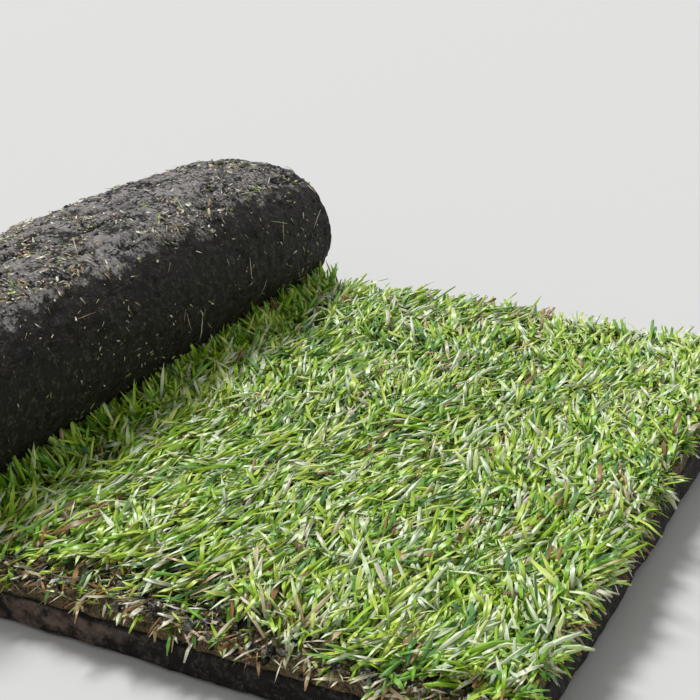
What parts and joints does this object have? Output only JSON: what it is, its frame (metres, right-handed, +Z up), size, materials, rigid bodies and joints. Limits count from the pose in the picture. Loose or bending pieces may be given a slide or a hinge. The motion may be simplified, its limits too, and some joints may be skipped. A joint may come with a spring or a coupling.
{
  "type": "roll of turf",
  "caption": "Strip of cut turf, rolled up grass inwards with its soil outside, and its last stretch unrolled grass up.",
  "frame": {"origin": "on the floor, under the middle of the whole strip's box", "axes": "+X along the strip from the roll to the free cut end, +Y along the roll to its tighter end, +Z up"},
  "size_m": [0.4134, 0.4, 0.119],
  "materials": {
    "soil": "matte, crumbling, with pale root bits",
    "grass": "mown blades, part laid over, with dry straw"
  },
  "bodies": {
    "root": {"soil_mat": "soil", "grass_sward": "grass"}
  },
  "joints": []
}
